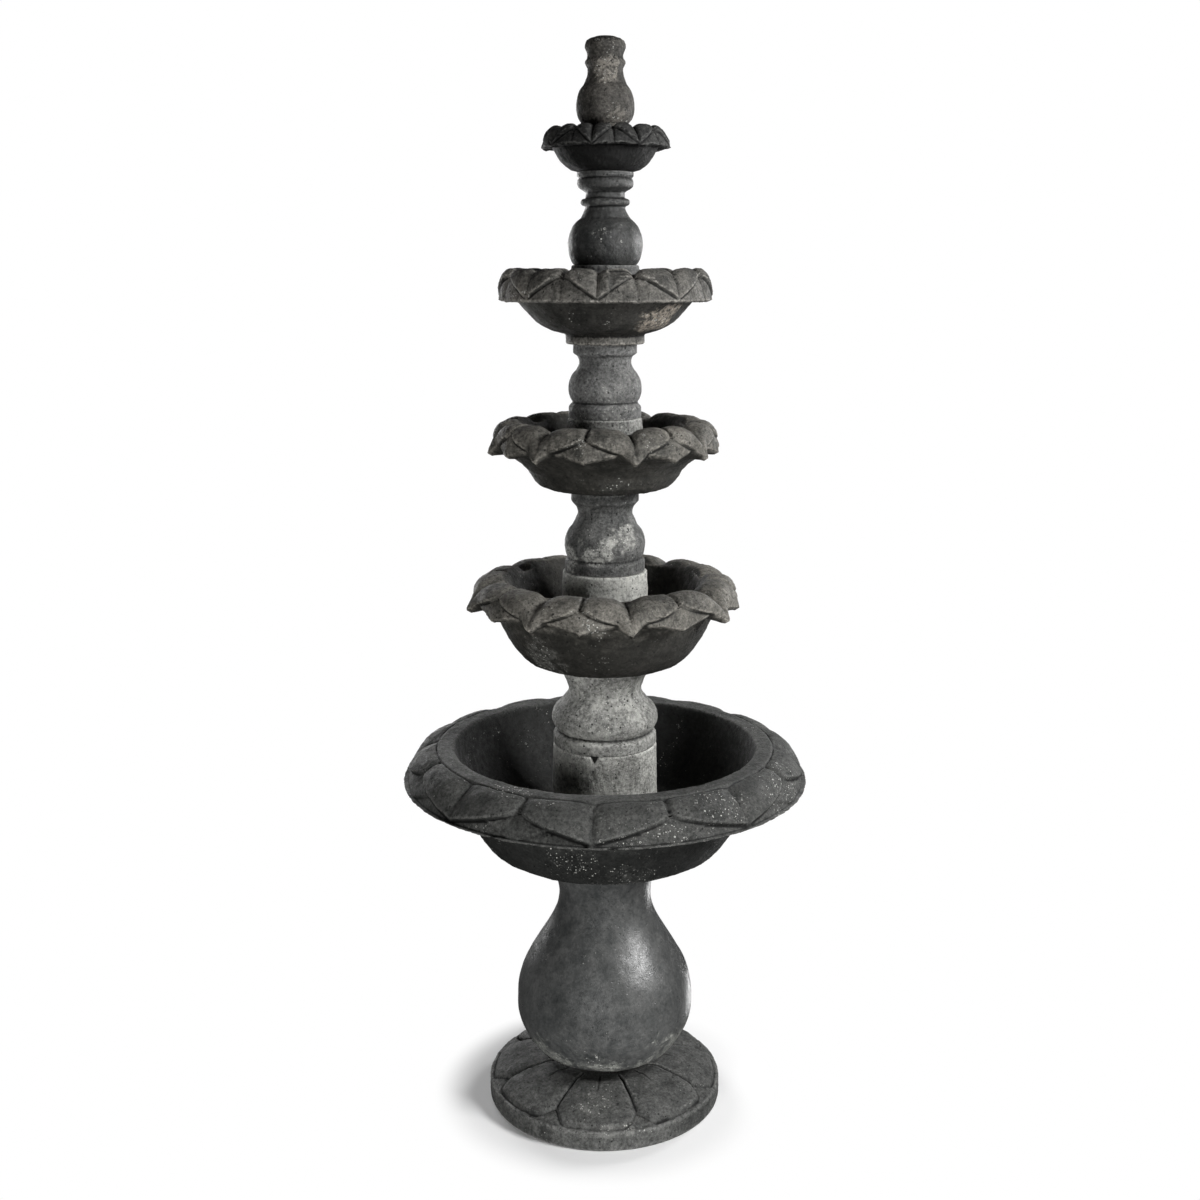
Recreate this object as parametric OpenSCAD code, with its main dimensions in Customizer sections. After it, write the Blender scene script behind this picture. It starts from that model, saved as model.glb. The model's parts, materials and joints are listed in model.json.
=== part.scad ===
// Tiered garden fountain, carved stone, dry-stacked on a pear-shaped pedestal.
// Origin: centre of the underside of the base. +Z is up, -Y is the front. Millimetres.

/* [Stack heights] */
// Height of the flat edge of the base
base_edge_h = 40; // [30:1:60]
// Height of the base from the ground to the seat of the pedestal
base_h = 77; // [65:1:95]
// Height of the pear-shaped pedestal
pedestal_h = 433; // [420:1:450]
// Height of the basin from its seat to its lip
basin_h = 249; // [240:1:260]
// Thickness of the basin under its floor
basin_floor_h = 80; // [75:1:90]
// Height of the cover over the pump, from the basin floor
cover_h = 172; // [165:1:185]
// Height of the lower column
lower_column_h = 155; // [150:1:165]
// Height of the middle column
middle_column_h = 155; // [150:1:165]
// Height of the upper column
upper_column_h = 138; // [136:1:150]
// Height of the top column
top_column_h = 167; // [167:1:180]
// Thickness of each bowl under its floor
bowl_floor_h = 42; // [40:1:48]
// Top of the riser in the lower bowl, above the seat of that bowl
lower_riser_top = 194; // [180:1:200]
// Top of the riser in the middle bowl, above the seat of that bowl
middle_riser_top = 141; // [130:1:150]
// Top of the riser in the upper bowl, above the seat of that bowl
upper_riser_top = 144; // [138:1:150]
// Height of the finial
finial_h = 187; // [187:1:200]

/* [Widths] */
// Radius of the base at its edge
base_r = 239; // [225:1:250]
// Largest radius of the pedestal
pedestal_r = 180; // [165:1:190]
// Radius of the pedestal at its neck
pedestal_neck_r = 93; // [85:1:105]
// Radius of the cover over the pump at its foot
cover_r = 106; // [100:1:110]
// Radius of the round room inside the cover
cover_room_r = 82; // [78:1:86]

/* [Petals] */
// Number of petals round each carved stone
petals = 8; // [6:1:10]
// Flat facets along the width of one petal
petal_steps = 8; // [6:2:10]
// Bearing of the first petal tip of the base, from the front
base_petal_turn = -5; // [-22:1:22]
// Bearing of the first petal tip of the basin
basin_petal_turn = -3; // [-22:1:22]
// Bearing of the first petal tip of the lower and middle bowls
bowl_petal_turn = 12; // [-22:1:22]
// Bearing of the first petal tip of the upper bowl
upper_petal_turn = -3; // [-22:1:22]
// Bearing of the first petal tip of the top bowl
top_petal_turn = -12; // [-22:1:22]

/* [Water way] */
// Outer radius of the water pipe
pipe_r = 10; // [8:0.5:11]
// Wall of the water pipe
pipe_wall = 2; // [1.5:0.5:3]
// Gap between the pipe and the stone that it passes through
bore_gap = 2; // [1:0.5:4]
// Wall of the rubber sleeves that join the pipes
sleeve_wall = 4; // [3:0.5:5]
// Length of the rubber sleeves
sleeve_h = 42; // [36:1:50]
// How deep a pipe end sits in a sleeve
pipe_grip = 20; // [15:1:22]
// Radius of the flange of the bowl seals
seal_r = 24; // [20:1:26]
// Thickness of the flange of the bowl seals
seal_h = 5; // [3:0.5:6]
// Radius of the bore of the drain
drain_bore_r = 12; // [10:0.5:14]
// Distance of the drain from the middle of the basin
drain_reach = 160; // [150:1:170]

/* [Pump] */
// Width of the pump housing, across the fountain
pump_w = 70; // [64:1:76]
// Depth of the pump housing, front to back
pump_d = 60; // [54:1:64]
// Height of the pump housing
pump_h = 62; // [58:1:66]
// Radius of the impeller
impeller_r = 14; // [12:0.5:15]
// Radius of the impeller shaft
shaft_r = 2; // [1.5:0.5:3]
// Radius of the flow dial
dial_r = 9; // [7:0.5:11]

/* [Hidden] */
$fn = 96;

// Small overlap that lets a cutting shape pass a face
eps = 1;
// Running clearance between turning or sliding parts and what they run in
run_gap = 0.05;

// Heights of the seats, counted up the stack
pedestal_z = base_h;
basin_z = pedestal_z + pedestal_h;
basin_floor_z = basin_z + basin_floor_h;
lower_column_z = basin_floor_z + cover_h;
lower_bowl_z = lower_column_z + lower_column_h;
middle_column_z = lower_bowl_z + lower_riser_top;
middle_bowl_z = middle_column_z + middle_column_h;
upper_column_z = middle_bowl_z + middle_riser_top;
upper_bowl_z = upper_column_z + upper_column_h;
top_column_z = upper_bowl_z + upper_riser_top;
top_bowl_z = top_column_z + top_column_h;
finial_z = top_bowl_z + bowl_floor_h + 5;

// The bore through the stones, and the room for a sleeve in it
bore_r = pipe_r + bore_gap;
sleeve_r = pipe_r + run_gap + sleeve_wall;
sleeve_room_r = sleeve_r + 0.4;

dark_stone = [0.20, 0.21, 0.20];
grey_stone = [0.36, 0.37, 0.36];
pale_stone = [0.52, 0.52, 0.50];
steel_grey = [0.70, 0.71, 0.73];
brass_yellow = [0.72, 0.57, 0.28];
rubber_black = [0.08, 0.08, 0.09];
pipe_grey = [0.45, 0.47, 0.50];
pump_black = [0.12, 0.13, 0.14];
ceramic_white = [0.90, 0.90, 0.88];

// ---- Points on curves ----

// Part of an oval about [r, z] from bearing a to bearing b, where 0 points outwards
function oval(r, z, wide, tall, a, b, steps = 12) =
    [for (i = [0 : steps]) let (t = a + (b - a) * i / steps) [r + wide * cos(t), z + tall * sin(t)]];

// A turned column with a square-edged ring, a bulb, a neck and a collar
// ring, neck and collar are [radius, height], and bulb is [middle radius, middle height, wide, tall]
function column_outline(h, ring, bulb, bulb_ends, neck, collar) = concat(
    [[0, 0], [ring[0] - 1.5, 0], [ring[0], 1.5], [ring[0], ring[1] - 2], [ring[0] - 2, ring[1]]],
    oval(bulb[0], bulb[1], bulb[2], bulb[3], bulb_ends[0], bulb_ends[1]),
    [[neck[0] + 3, neck[1] - 10], [neck[0], neck[1] - 3]],
    [[neck[0], neck[1] + 4], [neck[0] + 3, neck[1] + 12]],
    [[collar[0] - 2, h - collar[1]], [collar[0], h - collar[1] + 2]],
    [[collar[0], h - 2], [collar[0] - 2, h], [0, h]]
);

// ---- Carved stones ----

// How strongly a petal tip (1) or the gap between two tips (-1) is felt at a bearing
function petal_wave(bearing, turn) = cos(petals * (bearing - turn));
function tip_share(bearing, turn) = pow(max(0, petal_wave(bearing, turn)), 1.5);
function gap_share(bearing, turn) = pow(max(0, -petal_wave(bearing, turn)), 1.5);

// A round stone whose rings swell and dip with its petals. Each ring is
// [radius, height, radius and height added at a tip, radius and height added between tips].
// The rings run from the flat seat outwards, over the rim, and in to the flat floor.
module carved_stone(rings, turn) {
    n = petals * petal_steps;
    last = len(rings) - 1;
    points = [for (g = rings) for (j = [0 : n - 1])
        let (b = 360 * j / n + turn, t = tip_share(b, turn), s = gap_share(b, turn),
             r = g[0] + g[2] * t + g[4] * s)
        [r * sin(b), -r * cos(b), g[1] + g[3] * t + g[5] * s]];
    walls = [for (i = [0 : last - 1]) for (j = [0 : n - 1])
        let (k = (j + 1) % n, a = i * n, b = (i + 1) * n)
        each [[a + j, b + j, b + k], [a + j, b + k, a + k]]];
    seat = [for (j = [0 : n - 1]) j];
    floor_face = [for (j = [n - 1 : -1 : 0]) last * n + j];
    polyhedron(points, concat([seat], walls, [floor_face]), convexity = 8);
}

// The bore that the water pipe passes through, with a recess for a seal at the floor
module bowl_bore(floor_h) {
    translate([0, 0, -eps]) cylinder(r = bore_r, h = floor_h + 2 * eps);
    translate([0, 0, floor_h - seal_h]) cylinder(r = seal_r + 0.4, h = seal_h + eps);
}

base_rings = [
    [base_r - 3, 0, 0, 0, 0, 0],
    [base_r, 3, 0, 0, 0, 0],
    [base_r, base_edge_h - 3, 0, 0, 0, 0],
    [base_r - 3, base_edge_h, 0, 0, 0, 0],
    [base_r - 10, base_edge_h + 1, 4, 1, -4, 0],
    [base_r - 16, base_edge_h + 6, 5, 5, -6, -2],
    [base_r - 50, base_h - 13, 0, 5, 0, -4],
    [150, base_h - 3, 0, 3, 0, -4],
    [122, base_h, 0, 0, 0, 0]
];
module lotus_base() {
    color(dark_stone) difference() {
        carved_stone(base_rings, base_petal_turn);
        translate([0, 0, base_h - dowel_h / 2]) cylinder(r = dowel_r + 0.3, h = dowel_h);
    }
}

// The basin is cut from one stone. Its plain bowl and the carved ring of petals round it are two nodes
// that meet on the level face at basin_split_h.
basin_lip_r = 300;
basin_edge_r = 400;
basin_wall_r = 302;
basin_split_h = 180;
basin_split_r = basin_lip_r - 20;
basin_outline = [
    [0, 0], [112, 0], [180, 24], [222, 41], [241, 57], [259, 82], [290, 150],
    [basin_wall_r, basin_split_h], [basin_split_r, basin_split_h],
    [basin_lip_r - 24, 165], [basin_lip_r - 38, 138], [basin_lip_r - 56, 112], [basin_lip_r - 75, 93],
    [basin_lip_r - 96, basin_floor_h], [0, basin_floor_h]
];
basin_rim_rings = [
    [basin_wall_r, basin_split_h, 0, 0, 0, 0],
    [basin_edge_r - 4, basin_split_h, 0, 0, 0, 0],
    [basin_edge_r, 185, 1, 0, 0, 0],
    [basin_edge_r - 8, 196, 4, 0, -4, -2],
    [basin_edge_r - 30, 219, 0, 2, 0, -2],
    [basin_edge_r - 56, 236, 0, -4, 0, -3],
    [basin_lip_r + 34, 244, 0, 0, 0, 0],
    [basin_lip_r + 30, basin_h, 0, 0, 0, 0]
];
drain_hole_r = drain_bore_r + 4.3;
module basin() {
    color(dark_stone) translate([0, 0, basin_z]) difference() {
        rotate_extrude() polygon(basin_outline);
        translate([0, 0, -eps]) cylinder(r = dowel_r + 0.3, h = dowel_h / 2 + eps);
        translate([0, drain_reach, -eps]) cylinder(r = drain_hole_r, h = basin_floor_h + 2 * eps);
    }
}
module basin_rim() {
    rim_h = basin_h - basin_split_h;
    color(dark_stone) translate([0, 0, basin_z]) difference() {
        carved_stone(basin_rim_rings, basin_petal_turn);
        translate([0, 0, basin_split_h - eps]) cylinder(r = basin_split_r, h = 2 * eps);
        translate([0, 0, basin_split_h]) cylinder(r1 = basin_split_r, r2 = basin_lip_r, h = rim_h);
        translate([0, 0, basin_h - eps]) cylinder(r = basin_lip_r, h = 2 * eps);
    }
}

lower_rings = [
    [83, 0, 0, 0, 0, 0],
    [128, 11, 0, 0, 0, 0],
    [152, 20, 0, 0, 0, 0],
    [174, 42, 0, 0, 0, 0],
    [190, 66, 0, 0, 0, 0],
    [205, 95, 0, 0, 0, 0],
    [219, 127, 0, -4, 0, -2],
    [240, 140, 32, -16, 8, -12],
    [245, 146, 31, -16, 9, -12],
    [238, 166, 13, -10, 0, 0],
    [220, 181, 4, -12, 0, 0],
    [203, 186, 0, -16, 0, 0],
    [190, 180, 0, -12, 0, 0],
    [178, 152, 0, 0, 0, 0],
    [162, 110, 0, 0, 0, 0],
    [138, 70, 0, 0, 0, 0],
    [102, bowl_floor_h, 0, 0, 0, 0]
];
module lower_bowl() {
    color(dark_stone) translate([0, 0, lower_bowl_z]) difference() {
        carved_stone(lower_rings, bowl_petal_turn);
        bowl_bore(bowl_floor_h);
    }
}

middle_rings = [
    [66, 0, 0, 0, 0, 0],
    [114, 8, 0, 0, 0, 0],
    [133, 20, 0, 0, 0, 0],
    [146, 40, 0, 0, 0, 0],
    [165, 59, 0, 0, 0, 0],
    [184, 74, 0, -4, 0, -3],
    [199, 82, 28, -10, 10, -9],
    [203, 88, 27, -10, 10, -9],
    [199, 108, 12, -8, 0, 0],
    [184, 128, 3, -10, 0, 0],
    [170, 137, 0, -13, 0, 0],
    [156, 130, 0, -9, 0, 0],
    [146, 108, 0, 0, 0, 0],
    [130, 72, 0, 0, 0, 0],
    [98, bowl_floor_h, 0, 0, 0, 0]
];
module middle_bowl() {
    color(dark_stone) translate([0, 0, middle_bowl_z]) difference() {
        carved_stone(middle_rings, bowl_petal_turn);
        bowl_bore(bowl_floor_h);
    }
}

upper_rings = [
    [71, 0, 0, 0, 0, 0],
    [74, 3, 0, 0, 0, 0],
    [74, 17, 0, 0, 0, 0],
    [102, 26, 0, 0, 0, 0],
    [129, 40, 0, 0, 0, 0],
    [144, 55, 0, 0, 0, 0],
    [163, 77, 0, 0, 0, 0],
    [166, 80, 0, 0, 0, 0],
    [196, 80, 1, 0, 0, 0],
    [199, 83, 0, 0, 0, 0],
    [199, 104, 0, -2, 0, 1],
    [188, 125, 2, -8, 0, 3],
    [173, 134, 2, -14, 0, 5],
    [160, 132, 0, -10, 0, 4],
    [146, 116, 0, 0, 0, 0],
    [128, 76, 0, 0, 0, 0],
    [96, bowl_floor_h, 0, 0, 0, 0]
];
module upper_bowl() {
    color(dark_stone) translate([0, 0, upper_bowl_z]) difference() {
        carved_stone(upper_rings, upper_petal_turn);
        bowl_bore(bowl_floor_h);
    }
}

top_rings = [
    [53, 0, 0, 0, 0, 0],
    [64, 3, 0, 0, 0, 0],
    [81, 17, 0, 0, 0, 0],
    [91, 32, 0, 0, 0, 0],
    [97, 41, 0, 0, 0, 0],
    [116, 41, 1, 0, 0, 0],
    [119, 44, 0, 0, 0, 0],
    [118, 56, 0, -1, 0, 1],
    [108, 67, 1, -5, 0, 2],
    [93, 74, 0, -7, 0, 3],
    [83, 72, 0, -5, 0, 2],
    [74, 62, 0, 0, 0, 0],
    [58, bowl_floor_h + 5, 0, 0, 0, 0]
];
module top_bowl() {
    color(dark_stone) translate([0, 0, top_bowl_z]) difference() {
        carved_stone(top_rings, top_petal_turn);
        bowl_bore(bowl_floor_h + 5);
    }
}

// ---- Turned stones ----

pedestal_foot_r = 72;
pedestal_belly_z = 127;
pedestal_neck_z = 366;
pedestal_seat_r = 112;
// Radius of the pedestal's shoulder, which falls from the belly to the neck in one long curve
function shoulder_r(t) =
    pedestal_neck_r + (pedestal_r - pedestal_neck_r) * (1 + cos(180 * pow(t, 1.12))) / 2;
pedestal_outline = concat(
    [[0, 0], [pedestal_foot_r, 0], [pedestal_foot_r, 7]],
    oval(0, pedestal_belly_z, pedestal_r, pedestal_belly_z + 3, -66, 0, 16),
    [for (i = [0 : 20])
        let (t = i / 20) [
            shoulder_r(t),
            pedestal_belly_z + 11 + t * (pedestal_neck_z - pedestal_belly_z - 11)
        ]],
    [for (i = [1 : 5])
        let (t = i / 5) [
            pedestal_neck_r + (pedestal_seat_r - pedestal_neck_r) * t * t,
            pedestal_neck_z + t * (pedestal_h - pedestal_neck_z)
        ]],
    [[0, pedestal_h]]
);
module pedestal() {
    color(grey_stone) translate([0, 0, pedestal_z]) difference() {
        rotate_extrude() polygon(pedestal_outline);
        translate([0, 0, -eps]) cylinder(r = dowel_r + 0.3, h = dowel_h / 2 + eps);
        translate([0, 0, pedestal_h - dowel_h / 2]) cylinder(r = dowel_r + 0.3, h = dowel_h);
    }
}

// Straight pins keep the pedestal and the basin centred
dowel_r = 12;
dowel_h = 60;
module stack_dowel(z) {
    translate([0, 0, z - dowel_h / 2 + 1]) rotate_extrude()
        polygon([
            [0, 0], [dowel_r - 2, 0], [dowel_r, 2],
            [dowel_r, dowel_h - 4], [dowel_r - 2, dowel_h - 2], [0, dowel_h - 2]
        ]);
}
module base_dowel() {
    color(steel_grey) stack_dowel(pedestal_z);
}
module basin_dowel() {
    color(steel_grey) stack_dowel(basin_z);
}

// The bore of a column, open at both ends
module column_bore(h) {
    translate([0, 0, -eps]) cylinder(r = bore_r, h = h + 2 * eps);
}

module lower_column() {
    color(pale_stone) translate([0, 0, lower_column_z]) difference() {
        rotate_extrude() polygon(column_outline(lower_column_h, [102, 24], [60, 55, 45, 38], [-44, 50],
                                                [71.5, 112], [83, 14]));
        column_bore(lower_column_h);
    }
}
module middle_column() {
    color(pale_stone) translate([0, 0, middle_column_z]) difference() {
        rotate_extrude() polygon(column_outline(middle_column_h, [77, 23], [50, 52, 28, 42], [-38, 62],
                                                [52.5, 115], [65, 20]));
        column_bore(middle_column_h);
    }
}
module upper_column() {
    color(pale_stone) translate([0, 0, upper_column_z]) difference() {
        rotate_extrude() polygon(column_outline(upper_column_h, [69, 23], [40, 56, 29.3, 38], [-44, 56],
                                                [49.2, 104], [60, 19]));
        column_bore(upper_column_h);
    }
}

top_column_outline = concat(
    [[0, 0], [58, 0]],
    oval(30, 36, 39.5, 52, -38, 66),
    [[38, 98], [36.7, 102], [36.7, 105.5], [41, 106.5]],
    oval(39.5, 112.5, 6, 6, -70, 70, 6),
    [[36, 119], [35.8, 122], [36, 130], [41.5, 134], [46, 136.5]],
    oval(46.5, 146, 5.5, 9, -80, 80, 8),
    [[48, 155.5], [48, 156.5], [50.5, 157], [52, 158.5], [52, top_column_h - 1.5]],
    [[50.5, top_column_h], [0, top_column_h]]
);
module top_column() {
    color(grey_stone) translate([0, 0, top_column_z]) difference() {
        rotate_extrude() polygon(top_column_outline);
        column_bore(top_column_h);
    }
}

finial_outline = concat(
    [[0, 0], [38, 0], [38, 28], [41, 36]],
    oval(30, 64, 23, 32, -58, -6, 8),
    oval(30, 64, 23, 44, 0, 66, 10),
    [[37.2, 109], [34.6, 116], [32.9, 122], [32, 128], [32.2, 133], [33.6, 135]],
    oval(31.5, 142, 5, 6, -60, 60, 6),
    [[32.8, 150], [32.4, 155], [33, 159], [35.2, 163], [37, 168], [37, 173]],
    [[34.5, 179], [29, 183], [20, finial_h - 1], [18, finial_h], [0, finial_h]]
);
nozzle_flange_r = pipe_r + 3;
nozzle_flange_h = 3;
module finial() {
    color(grey_stone) translate([0, 0, finial_z]) difference() {
        rotate_extrude() polygon(finial_outline);
        translate([0, 0, -eps]) cylinder(r = sleeve_room_r + 1, h = sleeve_h + pipe_grip + eps);
        cylinder(r = pipe_r + run_gap, h = finial_h + eps);
        translate([0, 0, finial_h - nozzle_flange_h])
            cylinder(r = nozzle_flange_r + run_gap, h = nozzle_flange_h + eps);
    }
}

// ---- Risers: stone drums that stand in the bowls and carry the next column ----

module bowl_riser(z, h, foot_r, head_r) {
    translate([0, 0, z]) difference() {
        rotate_extrude() polygon([[0, 0], [foot_r, 0], [head_r, h - 2], [head_r - 2, h], [0, h]]);
        column_bore(h);
        translate([0, 0, h - sleeve_h]) cylinder(r = sleeve_room_r, h = sleeve_h + eps);
    }
}
module lower_riser() {
    color(pale_stone) bowl_riser(lower_bowl_z + bowl_floor_h, lower_riser_top - bowl_floor_h, 86, 82);
}
module middle_riser() {
    color(pale_stone) bowl_riser(middle_bowl_z + bowl_floor_h, middle_riser_top - bowl_floor_h, 77, 70);
}
module upper_riser() {
    color(pale_stone) bowl_riser(upper_bowl_z + bowl_floor_h, upper_riser_top - bowl_floor_h, 66, 63);
}

// ---- Water way ----

// A straight length of pipe from z1 to z2
module water_pipe(z1, z2) {
    translate([0, 0, z1]) difference() {
        cylinder(r = pipe_r, h = z2 - z1);
        translate([0, 0, -eps]) cylinder(r = pipe_r - pipe_wall, h = z2 - z1 + 2 * eps);
    }
}
// A rubber sleeve whose top is at z
module pipe_sleeve(z) {
    translate([0, 0, z - sleeve_h]) difference() {
        cylinder(r = sleeve_r, h = sleeve_h);
        translate([0, 0, -eps]) cylinder(r = pipe_r + run_gap, h = sleeve_h + 2 * eps);
    }
}
// A flanged rubber ring that lies in the recess of a bowl, round the pipe
module bowl_seal(floor_z) {
    translate([0, 0, floor_z - seal_h]) difference() {
        union() {
            cylinder(r = seal_r, h = seal_h);
            translate([0, 0, -12]) cylinder(r = bore_r - 0.3, h = 12 + eps);
        }
        translate([0, 0, -12 - eps]) cylinder(r = pipe_r + run_gap, h = seal_h + 12 + 2 * eps);
    }
}

module lower_pipe() {
    color(pipe_grey) water_pipe(lower_column_z - pipe_grip, middle_column_z - pipe_grip - 1);
}
module middle_pipe() {
    color(pipe_grey) water_pipe(middle_column_z - pipe_grip, upper_column_z - pipe_grip - 1);
}
module upper_pipe() {
    color(pipe_grey) water_pipe(upper_column_z - pipe_grip, top_column_z - pipe_grip - 1);
}
module top_pipe() {
    color(pipe_grey) water_pipe(top_column_z - pipe_grip, top_sleeve_z - pipe_grip - 1);
}
module lower_sleeve() {
    color(rubber_black) pipe_sleeve(middle_column_z);
}
module middle_sleeve() {
    color(rubber_black) pipe_sleeve(upper_column_z);
}
module upper_sleeve() {
    color(rubber_black) pipe_sleeve(top_column_z);
}
top_sleeve_z = finial_z + sleeve_h;
module top_sleeve() {
    color(rubber_black) pipe_sleeve(top_sleeve_z);
}
module lower_seal() {
    color(rubber_black) bowl_seal(lower_bowl_z + bowl_floor_h);
}
module middle_seal() {
    color(rubber_black) bowl_seal(middle_bowl_z + bowl_floor_h);
}
module upper_seal() {
    color(rubber_black) bowl_seal(upper_bowl_z + bowl_floor_h);
}
module top_seal() {
    color(rubber_black) bowl_seal(finial_z);
}
module outlet_nozzle() {
    nozzle_foot = top_sleeve_z - pipe_grip;
    nozzle_h = finial_z + finial_h - nozzle_foot;
    color(brass_yellow) translate([0, 0, nozzle_foot]) difference() {
        union() {
            cylinder(r = pipe_r, h = nozzle_h);
            translate([0, 0, nozzle_h - nozzle_flange_h]) cylinder(r = nozzle_flange_r, h = nozzle_flange_h);
        }
        translate([0, 0, -eps]) cylinder(r = pipe_r - pipe_wall, h = nozzle_h + 2 * eps);
    }
}

// ---- Basin fittings ----

sleeve_flange_r = drain_bore_r + 12;
sleeve_flange_h = 3;
sleeve_depth = 45;
module drain_sleeve() {
    color(brass_yellow) translate([0, drain_reach, basin_floor_z]) difference() {
        union() {
            cylinder(r = sleeve_flange_r, h = sleeve_flange_h);
            translate([0, 0, -sleeve_depth]) cylinder(r = drain_bore_r + 4, h = sleeve_depth + eps);
        }
        translate([0, 0, -sleeve_depth - eps])
            cylinder(r = drain_bore_r, h = sleeve_depth + sleeve_flange_h + 2 * eps);
    }
}
plug_depth = 18;
plug_head_h = 5;
pull_ring_r = 9;
pull_ring_wire_r = 2.2;
module drain_plug() {
    color(rubber_black) translate([0, drain_reach, basin_floor_z + sleeve_flange_h]) {
        translate([0, 0, -plug_depth]) cylinder(r = drain_bore_r - run_gap, h = plug_depth);
        cylinder(r = drain_bore_r + 5, h = plug_head_h);
        translate([0, 0, plug_head_h + pull_ring_r - 1]) rotate([90, 0, 0])
            rotate_extrude() translate([pull_ring_r, 0]) circle(r = pull_ring_wire_r, $fn = 24);
    }
}

cover_top_r = 102.5;
cover_lid_h = 18;
cable_slot_w = 50;
cable_slot_h = 35;
notch_turn = -7;
notch_w = 9;
module pump_cover() {
    color(pale_stone) translate([0, 0, basin_floor_z]) difference() {
        rotate_extrude() polygon([
            [0, 0], [cover_r, 0], [cover_top_r, cover_h - 1.5], [cover_top_r - 1.5, cover_h], [0, cover_h]
        ]);
        translate([0, 0, -eps]) cylinder(r = cover_room_r, h = cover_h - cover_lid_h + eps);
        cylinder(r = sleeve_room_r + 3, h = cover_h + eps);
        // Slot at the back for the cable and the water
        translate([-cable_slot_w / 2, 0, -eps]) cube([cable_slot_w, cover_r + eps, cable_slot_h + eps]);
        // Chipped notch in the top edge at the front
        rotate([0, 0, notch_turn]) translate([0, -cover_top_r - 4, cover_h]) rotate([0, 45, 0])
            cube([notch_w, 14, notch_w], center = true);
    }
}

// ---- Pump ----

pump_foot_h = 9;
pump_z = basin_floor_z + pump_foot_h;
pump_left = -45;
pump_right = pump_left + pump_w;
axle_z = pump_z + 27;
chamber_r = impeller_r + 3;
chamber_d = 32;
chamber_x = pump_right - chamber_d;
shaft_x = chamber_x - 12;
module pump_body() {
    color(pump_black) difference() {
        union() {
            translate([pump_left, -pump_d / 2, pump_z]) rounded_block([pump_w, pump_d, pump_h], 10);
            translate([0, 0, pump_z + pump_h - eps]) cylinder(r = 16, h = 6 + eps);
        }
        translate([chamber_x, 0, axle_z]) rotate([0, 90, 0]) cylinder(r = chamber_r, h = chamber_d + eps);
        translate([shaft_x, 0, axle_z]) rotate([0, 90, 0]) cylinder(r = shaft_r, h = 12 + eps);
        translate([0, 0, axle_z]) cylinder(r = pipe_r - pipe_wall, h = pump_h);
        translate([0, 0, pump_z + pump_h - 4]) cylinder(r = pipe_r + 2, h = 12);
    }
}
// A block with rounded upright edges, its low corner at the origin
module rounded_block(size, r) {
    linear_extrude(size[2]) union() {
        translate([r, 0]) square([size[0] - 2 * r, size[1]]);
        translate([0, r]) square([size[0], size[1] - 2 * r]);
        for (x = [r, size[0] - r], y = [r, size[1] - r]) translate([x, y]) circle(r = r);
    }
}
// Slotted cage over the mouth of the impeller chamber, with the seat of the shaft in it
strainer_w = 26;
strainer_wall = 3;
module pump_strainer() {
    cage_d = pump_d - 8;
    cage_h = pump_h - 10;
    axle_h = axle_z - pump_z - 4;
    color(pump_black) translate([pump_right, 0, pump_z + 4]) difference() {
        union() {
            difference() {
                translate([0, -cage_d / 2, 0]) cube([strainer_w, cage_d, cage_h]);
                translate([-eps, -cage_d / 2 + strainer_wall, strainer_wall]) cube([
                    strainer_w - strainer_wall + eps,
                    cage_d - 2 * strainer_wall,
                    cage_h - 2 * strainer_wall
                ]);
            }
            translate([3, 0, axle_h]) rotate([0, 90, 0]) cylinder(r = 5, h = strainer_w - 4);
            translate([3, -cage_d / 2 + 1, axle_h - 2]) cube([4, cage_d - 2, 4]);
        }
        for (i = [0 : 4]) translate([5 + i * 4, -cage_d / 2 - eps, 6]) cube([2, cage_d + 2 * eps, 12]);
        for (i = [0 : 4]) translate([5 + i * 4, -cage_d / 2 - eps, 30]) cube([2, cage_d + 2 * eps, 14]);
        translate([0, 0, axle_h]) rotate([0, 90, 0]) cylinder(r = shaft_r, h = 12);
        translate([14, 0, axle_h]) rotate([0, 90, 0]) cylinder(r = dial_stem_r + run_gap, h = 14);
    }
}
impeller_w = 20;
impeller_x = chamber_x + 6;
module impeller() {
    color(ceramic_white) translate([impeller_x, 0, axle_z]) rotate([0, 90, 0]) difference() {
        union() {
            cylinder(r = 6, h = impeller_w);
            cylinder(r = impeller_r, h = 3);
            for (i = [0 : 5]) rotate([0, 0, 60 * i]) translate([0, -1, 0]) cube([impeller_r - 0.5, 2, 14]);
        }
        translate([0, 0, -eps]) cylinder(r = shaft_r + run_gap, h = impeller_w + 2 * eps);
    }
}
module impeller_shaft() {
    color(steel_grey) translate([shaft_x, 0, axle_z]) rotate([0, 90, 0])
        cylinder(r = shaft_r, h = chamber_d + 23);
}
// Dial on the face of the cage, turned to throttle the flow
dial_h = 6;
dial_stem_r = 2.5;
dial_stem_h = 10;
module flow_dial() {
    color(pump_black) translate([pump_right + strainer_w, 0, axle_z]) rotate([0, 90, 0]) {
        difference() {
            cylinder(r = dial_r, h = dial_h);
            for (i = [0 : 11]) rotate([0, 0, 30 * i]) translate([dial_r + 0.6, 0, -eps])
                cylinder(r = 1.4, h = dial_h + 2 * eps);
        }
        translate([-dial_r + 2, -1, dial_h - eps]) cube([2 * dial_r - 4, 2, 3 + eps]);
        translate([0, 0, -dial_stem_h]) cylinder(r = dial_stem_r, h = dial_stem_h + eps);
    }
}
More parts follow.
